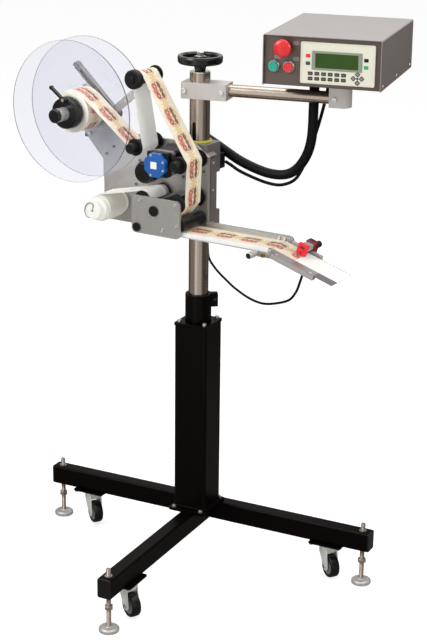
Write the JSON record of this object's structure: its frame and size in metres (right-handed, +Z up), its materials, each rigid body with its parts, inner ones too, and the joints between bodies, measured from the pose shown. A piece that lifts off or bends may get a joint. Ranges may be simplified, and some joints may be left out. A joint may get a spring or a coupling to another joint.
{
  "type": "flat surface labelling machine",
  "caption": "Flat-surface labelling machine: unwind reel, roller head with tilting peel nose and control box on a height-adjustable pole stand with levelling feet and castors.",
  "frame": {"origin": "on the floor under the middle of the footprint", "axes": "+Z up, -Y to the front where the panel and the labels face, +X to the right"},
  "size_m": [0.9712, 0.7304, 1.413],
  "materials": {
    "black_paint": "satin black powder coat",
    "black_plastic": "moulded black",
    "steel": "satin stainless",
    "zinc": "zinc plated",
    "aluminium": "bead blasted and anodised",
    "box_steel": "brushed stainless sheet",
    "panel_cream": "cream operator panel",
    "red_plastic": "gloss red",
    "green_plastic": "gloss green",
    "blue_cap": "blue moulded cap",
    "rubber": "black rubber",
    "clear_disc": "clear sheet",
    "paper": "printed label web",
    "liner": "pale backing liner",
    "white_plastic": "white turned plastic",
    "housing": "grey paint",
    "sensor_red": "red anodised",
    "board": "circuit board"
  },
  "bodies": {
    "stand": {"cross_beam": "black_paint", "front_leg": "black_paint", "leg_fittings": "black_paint", "column": "black_paint", "pole_sleeve": "black_paint", "pole": "steel", "boom_clamp": "aluminium", "boom_tube": "steel", "boom_head": "aluminium", "box_chassis": "box_steel", "box_cover": "box_steel", "control_board": "board", "display_panel": "panel_cream", "panel_fittings": "black_plastic", "supply_hose": "rubber", "signal_cable": "rubber"},
    "drive": {"handwheel": "black_plastic", "lead_screw": "steel"},
    "head": {"head_plate": "aluminium", "head_carriage": "housing", "cable_glands": "black_plastic", "front_plate": "aluminium", "roller_shafts": "steel", "feed_motor": "black_paint", "motor_cap": "blue_cap", "label_table": "aluminium", "label_web": "paper", "backing_liner": "liner", "sensor_cable": "rubber"},
    "reel": {"unwind_hub": "aluminium", "rear_disc": "clear_disc", "label_roll": "paper"},
    "disc_clamp": {"front_disc": "clear_disc", "lock_collar": "black_plastic"},
    "lever": {"clamp_lever": "black_plastic"},
    "dancer": {"dancer_arm": "steel"},
    "dancer_roll": {"dancer_roller": "aluminium"},
    "idler_low": {"lower_idler": "aluminium"},
    "idler_up": {"upper_idler": "aluminium"},
    "idler_mid": {"mid_idler": "aluminium"},
    "guide": {"guide_roller": "black_plastic"},
    "nip": {"nip_roller": "rubber"},
    "drive_roll": {"drive_roller": "rubber"},
    "rewind": {"rewind_mandrel": "white_plastic"},
    "nose": {"nose_plate": "steel"},
    "sensor": {"label_sensor": "sensor_red"},
    "tension": {"tension_knob": "black_plastic"},
    "thumb": {"thumb_knob": "steel"},
    "estop": {"estop_button": "red_plastic"},
    "start": {"start_button": "green_plastic"},
    "stop": {"stop_button": "red_plastic"},
    "fork_left": {"castor_fork_left": "zinc"},
    "wheel_left": {"castor_wheel_left": "rubber"},
    "foot_left": {"foot_left": "steel"},
    "fork_right": {"castor_fork_right": "zinc"},
    "wheel_right": {"castor_wheel_right": "rubber"},
    "foot_right": {"foot_right": "steel"},
    "fork_front": {"castor_fork_front": "zinc"},
    "wheel_front": {"castor_wheel_front": "rubber"},
    "foot_front": {"foot_front": "steel"}
  },
  "joints": [
    {"name": "handwheel_turn", "type": "hinge", "parent": "stand", "child": "drive", "pos_m": [-0.01498, 0.11981, 1.3], "axis": [0, 0, 1], "range_deg": [-2026, 6751]},
    {"name": "head_height", "type": "slide", "parent": "stand", "child": "head", "axis": [0, 0, 1], "range_m": [-0.15, 0.045], "deforming": ["supply_hose", "signal_cable"]},
    {"name": "swivel_left", "type": "hinge", "parent": "stand", "child": "fork_left", "pos_m": [-0.36498, 0.17881, 0.085], "axis": [0, 0, 1], "continuous": true},
    {"name": "roll_left", "type": "hinge", "parent": "fork_left", "child": "wheel_left", "pos_m": [-0.35079, 0.16773, 0.0345], "axis": [0.6157, 0.788, 0], "continuous": true},
    {"name": "level_left", "type": "slide", "parent": "stand", "child": "foot_left", "axis": [0, 0, 1], "range_m": [-0.03, 0.02]},
    {"name": "swivel_right", "type": "hinge", "parent": "stand", "child": "fork_right", "pos_m": [0.33502, 0.17881, 0.085], "axis": [0, 0, 1], "continuous": true},
    {"name": "roll_right", "type": "hinge", "parent": "fork_right", "child": "wheel_right", "pos_m": [0.34881, 0.16724, 0.0345], "axis": [0.6428, 0.766, 0], "continuous": true},
    {"name": "level_right", "type": "slide", "parent": "stand", "child": "foot_right", "axis": [0, 0, 1], "range_m": [-0.03, 0.02]},
    {"name": "swivel_front", "type": "hinge", "parent": "stand", "child": "fork_front", "pos_m": [-0.01498, -0.24619, 0.085], "axis": [0, 0, 1], "continuous": true},
    {"name": "roll_front", "type": "hinge", "parent": "fork_front", "child": "wheel_front", "pos_m": [0.00029, -0.25573, 0.0345], "axis": [0.5299, 0.848, 0], "continuous": true},
    {"name": "level_front", "type": "slide", "parent": "stand", "child": "foot_front", "axis": [0, 0, 1], "range_m": [-0.03, 0.02]},
    {"name": "reel_spin", "type": "hinge", "parent": "head", "child": "reel", "pos_m": [-0.30761, 0.04503, 1.177], "axis": [-0.0872, -0.9962, 0], "continuous": true},
    {"name": "disc_slide", "type": "slide", "parent": "reel", "child": "disc_clamp", "axis": [-0.0872, -0.9962, 0], "range_m": [0, 0.016]},
    {"name": "lever_clamp", "type": "hinge", "parent": "disc_clamp", "child": "lever", "pos_m": [-0.3099, -0.02705, 1.212], "axis": [-0.0872, -0.9962, 0], "range_deg": [-90, 0]},
    {"name": "dancer_swing", "type": "hinge", "parent": "head", "child": "dancer", "pos_m": [-0.25045, 0.09022, 1.16], "axis": [-0.0872, -0.9962, 0], "range_deg": [-18, 5], "stiffness_Nm_per_rad": 6, "springref_deg": 6.88, "deforming": ["label_web"]},
    {"name": "dancer_spin", "type": "hinge", "parent": "dancer", "child": "dancer_roll", "pos_m": [-0.11335, 0.02803, 1.279], "axis": [-0.0872, -0.9962, 0], "continuous": true},
    {"name": "low_spin", "type": "hinge", "parent": "head", "child": "idler_low", "pos_m": [-0.11634, 0.02829, 1.114], "axis": [-0.0872, -0.9962, 0], "continuous": true},
    {"name": "up_spin", "type": "hinge", "parent": "head", "child": "idler_up", "pos_m": [0.00918, 0.01731, 1.086], "axis": [-0.0872, -0.9962, 0], "continuous": true},
    {"name": "mid_spin", "type": "hinge", "parent": "head", "child": "idler_mid", "pos_m": [0.0052, 0.01766, 0.99], "axis": [-0.0872, -0.9962, 0], "continuous": true},
    {"name": "guide_spin", "type": "hinge", "parent": "head", "child": "guide", "pos_m": [0.01018, 0.01722, 0.94], "axis": [-0.0872, -0.9962, 0], "continuous": true},
    {"name": "drive_spin", "type": "hinge", "parent": "head", "child": "drive_roll", "pos_m": [-0.05458, 0.02289, 0.968], "axis": [-0.0872, -0.9962, 0], "continuous": true},
    {"name": "nip_spin", "type": "hinge", "parent": "head", "child": "nip", "pos_m": [-0.09542, 0.02646, 0.99], "axis": [-0.0872, -0.9962, 0], "continuous": true},
    {"name": "rewind_spin", "type": "hinge", "parent": "head", "child": "rewind", "pos_m": [-0.22592, 0.03788, 0.946], "axis": [-0.0872, -0.9962, 0], "continuous": true},
    {"name": "nose_tilt", "type": "hinge", "parent": "head", "child": "nose", "pos_m": [0.26022, -0.00465, 0.9171], "axis": [-0.0872, -0.9962, 0], "range_deg": [-20, 17], "deforming": ["backing_liner", "sensor_cable"]},
    {"name": "sensor_slide", "type": "slide", "parent": "nose", "child": "sensor", "axis": [0.9506, -0.0832, -0.299], "range_m": [-0.03, 0.024]},
    {"name": "tension_turn", "type": "hinge", "parent": "head", "child": "tension", "pos_m": [-0.12867, 0.05949, 1.037], "axis": [-0.0872, -0.9962, 0], "range_deg": [-180, 180]},
    {"name": "thumb_turn", "type": "hinge", "parent": "head", "child": "thumb", "pos_m": [0.21813, -0.0612, 0.9075], "axis": [-0.0872, -0.9962, 0], "range_deg": [-180, 180]},
    {"name": "estop_push", "type": "slide", "parent": "stand", "child": "estop", "axis": [-0.1564, 0.9877, 0], "range_m": [0, 0.006], "stiffness_N_per_m": 1500, "springref_m": -0.001},
    {"name": "start_push", "type": "slide", "parent": "stand", "child": "start", "axis": [-0.1564, 0.9877, 0], "range_m": [0, 0.004], "stiffness_N_per_m": 700, "springref_m": -0.001},
    {"name": "stop_push", "type": "slide", "parent": "stand", "child": "stop", "axis": [-0.1564, 0.9877, 0], "range_m": [0, 0.004], "stiffness_N_per_m": 700, "springref_m": -0.001}
  ],
  "couplings": [
    {"joint": "handwheel_turn", "follows": "head_height", "rad_per_m": -785.4},
    {"joint": "dancer_spin", "follows": "reel_spin", "ratio": 3.25},
    {"joint": "low_spin", "follows": "reel_spin", "ratio": -3.25},
    {"joint": "up_spin", "follows": "reel_spin", "ratio": 3.25},
    {"joint": "mid_spin", "follows": "reel_spin", "ratio": 3.25},
    {"joint": "guide_spin", "follows": "reel_spin", "ratio": -3.0588},
    {"joint": "drive_spin", "follows": "reel_spin", "ratio": 1.9259},
    {"joint": "nip_spin", "follows": "reel_spin", "ratio": -2.84},
    {"joint": "rewind_spin", "follows": "reel_spin", "ratio": -1.5758}
  ]
}
